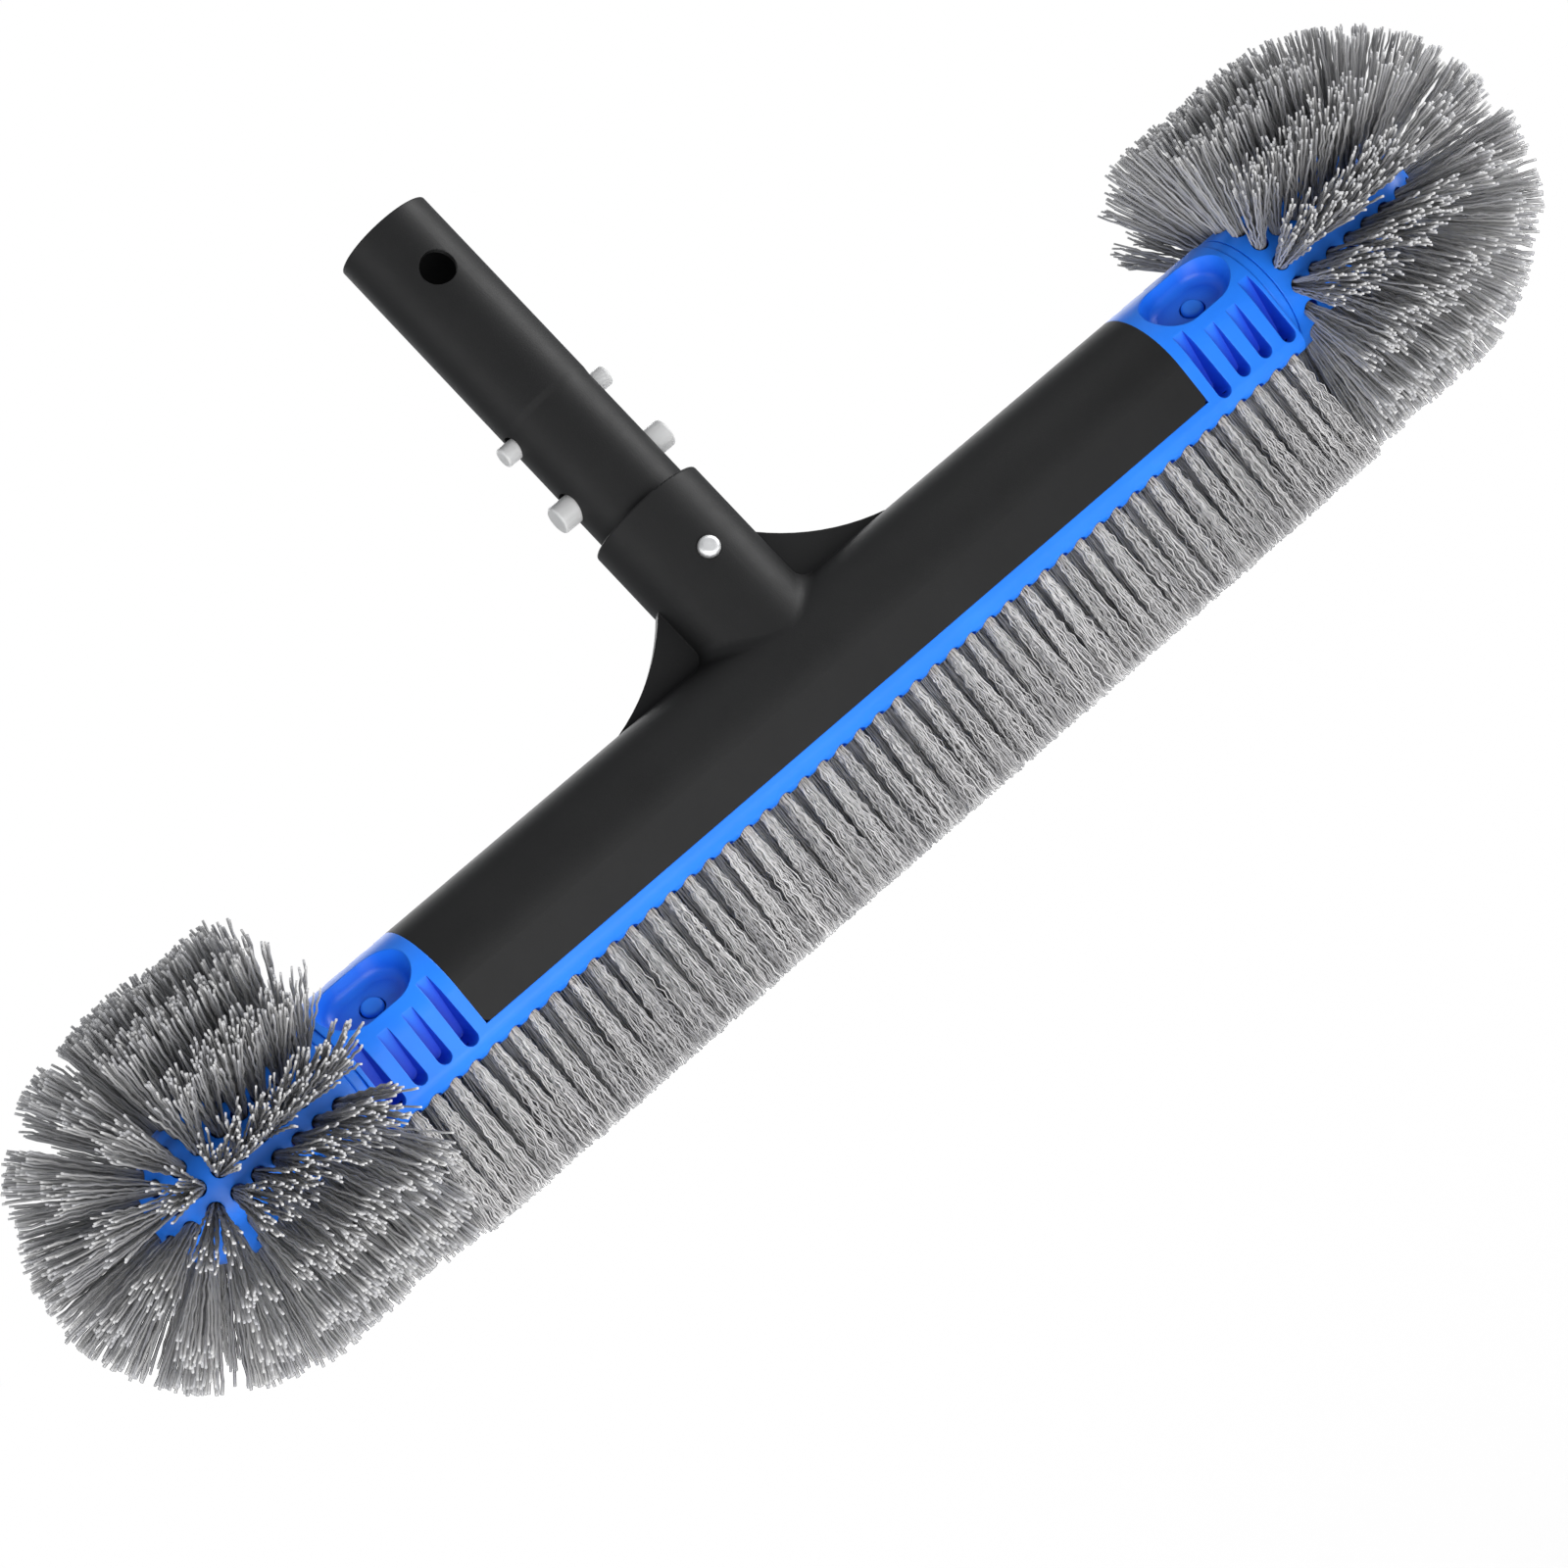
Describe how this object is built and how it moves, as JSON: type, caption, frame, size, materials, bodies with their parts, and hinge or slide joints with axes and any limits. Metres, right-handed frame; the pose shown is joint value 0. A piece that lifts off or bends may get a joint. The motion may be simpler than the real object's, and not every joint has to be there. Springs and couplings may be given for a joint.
{
  "type": "pool wall brush",
  "caption": "Pool wall brush with a straight bristle bed, two pull-off round end brushes and a tilted handle tube with a V-clip.",
  "frame": {"origin": "on the plane of the bristle tips, under the middle of the brush", "axes": "+X along the brush, -Y the front with the handle's snap button, +Z from the bristle tips towards the handle"},
  "size_m": [0.508, 0.1034, 0.2116],
  "materials": {
    "black_plastic": "satin, fine grain",
    "blue_plastic": "semi-gloss",
    "grey_bristle": "crimped nylon filaments",
    "white_plastic": "smooth, slightly translucent",
    "steel": "polished dome"
  },
  "bodies": {
    "head": {"back_housing": "black_plastic", "brush_bed": "blue_plastic", "housing_screws": "steel", "bed_tufts_front": "grey_bristle", "bed_tufts_second": "grey_bristle", "bed_tufts_middle": "grey_bristle", "bed_tufts_fourth": "grey_bristle", "bed_tufts_back": "grey_bristle"},
    "left_end": {"left_hub": "blue_plastic", "left_spigot": "blue_plastic", "left_ring_tufts": "grey_bristle", "left_dome_tufts": "grey_bristle"},
    "right_end": {"right_hub": "blue_plastic", "right_spigot": "blue_plastic", "right_ring_tufts": "grey_bristle", "right_dome_tufts": "grey_bristle"},
    "left_front_button": {"left_snap_front": "blue_plastic"},
    "left_rear_button": {"left_snap_rear": "blue_plastic"},
    "right_front_button": {"right_snap_front": "blue_plastic"},
    "right_rear_button": {"right_snap_rear": "blue_plastic"},
    "handle": {"handle_tube": "black_plastic", "clip_bend": "white_plastic"},
    "clip_left": {"clip_left_arm": "white_plastic"},
    "clip_right": {"clip_right_arm": "white_plastic"},
    "handle_button": {"handle_snap": "steel"}
  },
  "joints": [
    {"name": "left_end_pull", "type": "slide", "parent": "head", "child": "left_end", "axis": [-1, 0, 0], "range_m": [0, 0.036], "deforming": ["left_snap_front", "left_snap_rear"]},
    {"name": "right_end_pull", "type": "slide", "parent": "head", "child": "right_end", "axis": [1, 0, 0], "range_m": [0, 0.036], "deforming": ["right_snap_front", "right_snap_rear"]},
    {"name": "left_front_press", "type": "slide", "parent": "left_end", "child": "left_front_button", "axis": [0, 0.7547, -0.6561], "range_m": [0, 0.0033], "stiffness_N_per_m": 3000, "springref_m": -0.001},
    {"name": "left_rear_press", "type": "slide", "parent": "left_end", "child": "left_rear_button", "axis": [0, -0.7547, -0.6561], "range_m": [0, 0.0033], "stiffness_N_per_m": 3000, "springref_m": -0.001},
    {"name": "right_front_press", "type": "slide", "parent": "right_end", "child": "right_front_button", "axis": [0, 0.7547, -0.6561], "range_m": [0, 0.0033], "stiffness_N_per_m": 3000, "springref_m": -0.001},
    {"name": "right_rear_press", "type": "slide", "parent": "right_end", "child": "right_rear_button", "axis": [0, -0.7547, -0.6561], "range_m": [0, 0.0033], "stiffness_N_per_m": 3000, "springref_m": -0.001},
    {"name": "handle_pull", "type": "slide", "parent": "head", "child": "handle", "axis": [0, 0.2334, 0.9724], "range_m": [0, 0.045], "deforming": ["handle_snap"]},
    {"name": "clip_left_squeeze", "type": "hinge", "parent": "handle", "child": "clip_left", "pos_m": [-0.0062, 0.00934, 0.09089], "axis": [0, 0.9724, -0.2334], "range_deg": [0, 5], "stiffness_Nm_per_rad": 7.5, "springref_deg": -1.15},
    {"name": "clip_right_squeeze", "type": "hinge", "parent": "handle", "child": "clip_right", "pos_m": [0.0062, 0.00934, 0.09089], "axis": [0, -0.9724, 0.2334], "range_deg": [0, 5], "stiffness_Nm_per_rad": 7.5, "springref_deg": -1.15},
    {"name": "handle_button_press", "type": "slide", "parent": "handle", "child": "handle_button", "axis": [0, 0.9724, -0.2334], "range_m": [0, 0.0046], "stiffness_N_per_m": 2500, "springref_m": -0.001}
  ]
}
